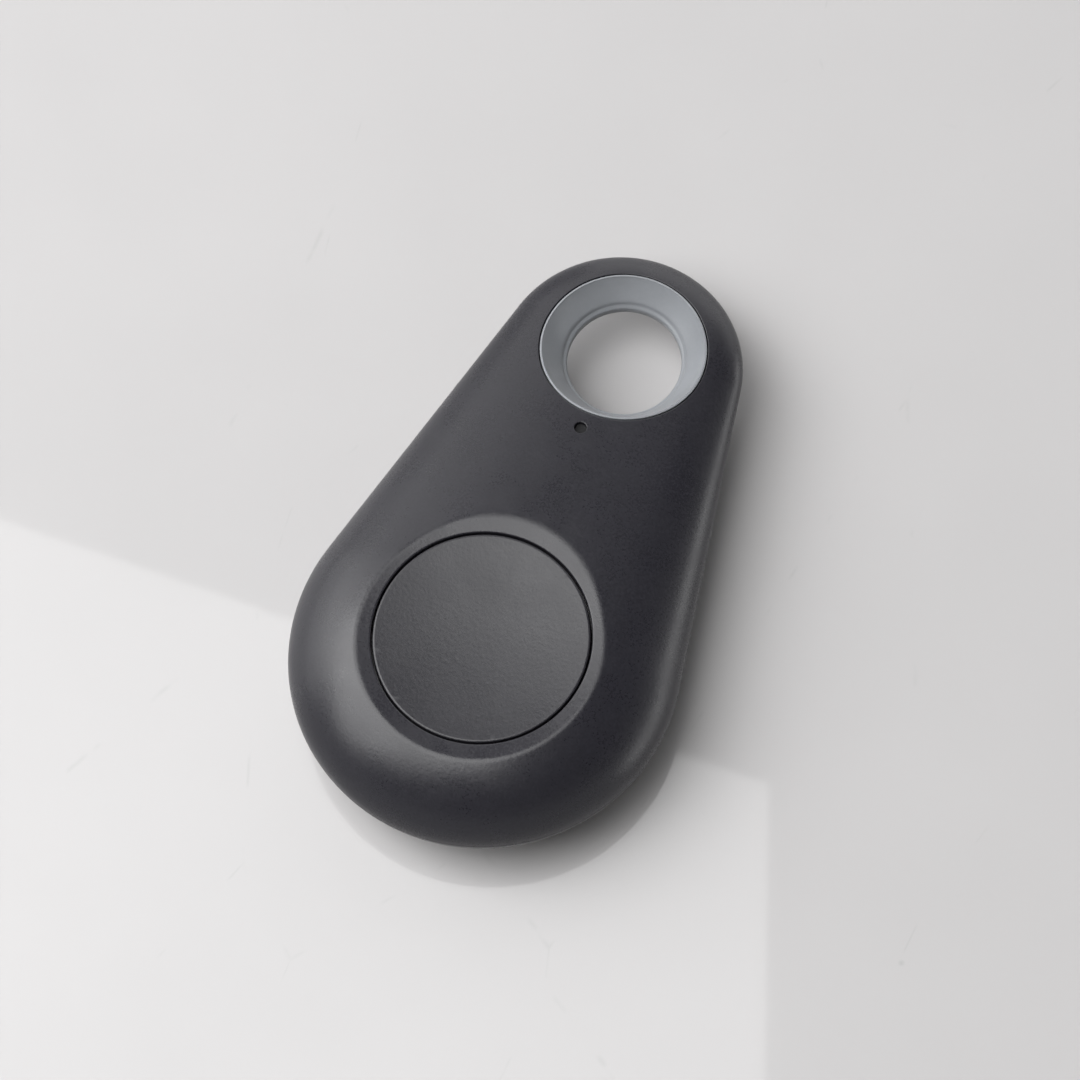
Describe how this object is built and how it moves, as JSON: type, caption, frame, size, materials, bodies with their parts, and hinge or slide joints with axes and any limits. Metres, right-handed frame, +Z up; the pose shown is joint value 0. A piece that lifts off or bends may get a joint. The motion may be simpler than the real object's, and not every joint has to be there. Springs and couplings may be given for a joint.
{
  "type": "bluetooth tracker tag",
  "caption": "Pear-shaped bluetooth tracker tag: a round push button in a thumb dish, a lined key ring eye, a snap-off rear cover, and a circuit board, coin cell and buzzer inside.",
  "frame": {"origin": "middle of the tag's bounding box, on the table plane that the rear cover rests on", "axes": "+Y along the tag from the wide button end to the key ring eye, +Z up out of the button face, +X to the right seen from the front with the eye at the top"},
  "size_m": [0.031, 0.052, 0.011],
  "materials": {
    "shell_plastic": "dark grey moulded plastic with a fine matte texture",
    "cap_plastic": "dark grey moulded plastic with a fine matte texture",
    "collar_plastic": "pale blue-grey satin plastic",
    "smoked_plastic": "dark smoked clear plastic",
    "board_green": "green solder mask on glass fibre board",
    "copper": "bare copper under lacquer",
    "gold_plate": "thin gold plate",
    "solder": "bright tin solder",
    "chip_black": "black moulding compound",
    "can_steel": "plated steel can",
    "ferrite": "dark grey ferrite",
    "capacitor_ceramic": "tan ceramic",
    "resistor_black": "black glazed ceramic",
    "led_white": "milky clear resin",
    "switch_black": "black heat-resistant plastic",
    "spring_steel": "nickel-plated spring steel",
    "plunger_cream": "cream plastic",
    "cell_steel": "bright nickel-plated steel",
    "gasket_white": "natural polypropylene",
    "cathode_black": "pressed black powder",
    "separator_paper": "white fibre sheet",
    "lithium": "soft grey metal",
    "buzzer_brass": "thin brass plate",
    "buzzer_ceramic": "pale ceramic with a thin silver face",
    "wire_red": "red insulation",
    "wire_black": "black insulation"
  },
  "bodies": {
    "rear_cover": {"rear_cover": "shell_plastic"},
    "main_assembly": {"front_shell": "shell_plastic", "key_ring_collar": "collar_plastic", "light_guide": "smoked_plastic", "circuit_board": "board_green", "antenna_trace": "copper", "contact_pads": "gold_plate", "solder_joints": "solder", "radio_chip": "chip_black", "main_crystal": "can_steel", "clock_crystal": "can_steel", "power_inductor": "ferrite", "chip_capacitors": "capacitor_ceramic", "chip_resistors": "resistor_black", "status_led": "led_white", "switch_base": "switch_black", "switch_dome": "spring_steel", "switch_cover": "can_steel", "switch_terminals": "solder", "battery_holder": "switch_black", "positive_clip": "spring_steel", "negative_contact": "spring_steel", "cell_can": "cell_steel", "cell_gasket": "gasket_white", "cell_cap": "cell_steel", "cell_cathode": "cathode_black", "cell_separator": "separator_paper", "cell_anode": "lithium", "buzzer_plate": "buzzer_brass", "buzzer_ceramic": "buzzer_ceramic", "buzzer_adhesive": "separator_paper", "buzzer_wire_red": "wire_red", "buzzer_wire_black": "wire_black"},
    "button": {"button_cap": "cap_plastic"},
    "plunger": {"switch_plunger": "plunger_cream"}
  },
  "joints": [
    {"name": "cover_release", "type": "slide", "parent": "rear_cover", "child": "main_assembly", "axis": [0, 0, 1], "range_m": [0, 0.02]},
    {"name": "button_press", "type": "slide", "parent": "main_assembly", "child": "button", "axis": [0, 0, -1], "range_m": [0, 0.00035], "stiffness_N_per_m": 1500},
    {"name": "plunger_press", "type": "slide", "parent": "main_assembly", "child": "plunger", "axis": [0, 0, -1], "range_m": [0, 0.00035], "deforming": ["switch_dome"]}
  ],
  "couplings": [
    {"joint": "plunger_press", "follows": "button_press", "ratio": 1}
  ]
}
